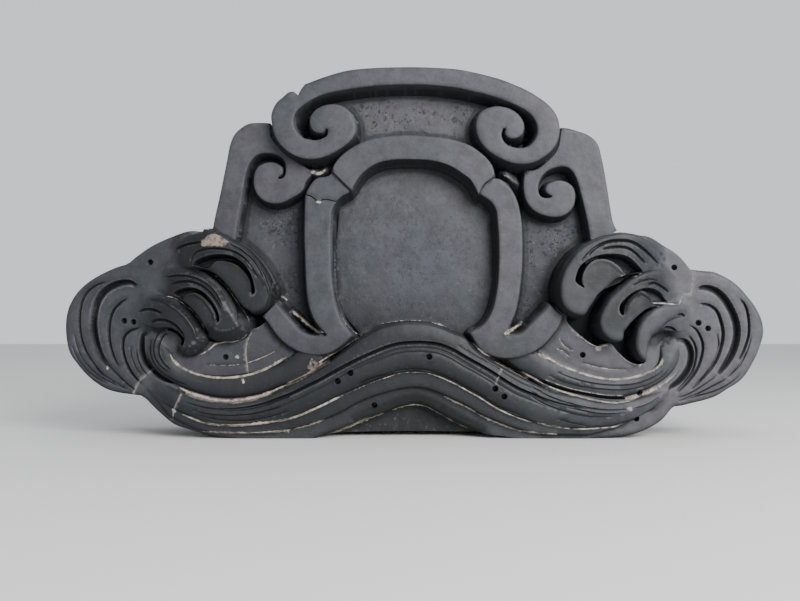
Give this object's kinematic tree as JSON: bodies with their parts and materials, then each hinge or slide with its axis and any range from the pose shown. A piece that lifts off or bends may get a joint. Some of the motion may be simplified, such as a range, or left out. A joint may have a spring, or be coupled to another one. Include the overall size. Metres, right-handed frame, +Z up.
{
  "type": "roof end tile",
  "caption": "Ridge end tile of smoked clay: an arched framed tablet under a scrolled cap, with carved wave wings and a hollow back.",
  "frame": {"origin": "centre of the bounding box at the level of the flat base", "axes": "+X to the viewer's right along the wings, +Z up, the carved face looks along -Y and the open back along +Y"},
  "size_m": [0.4865, 0.093, 0.2577],
  "materials": {
    "smoked_clay": "smoked fired clay, dark grey with a soft sheen"
  },
  "bodies": {
    "root": {"roof_end_tile": "smoked_clay"}
  },
  "joints": []
}
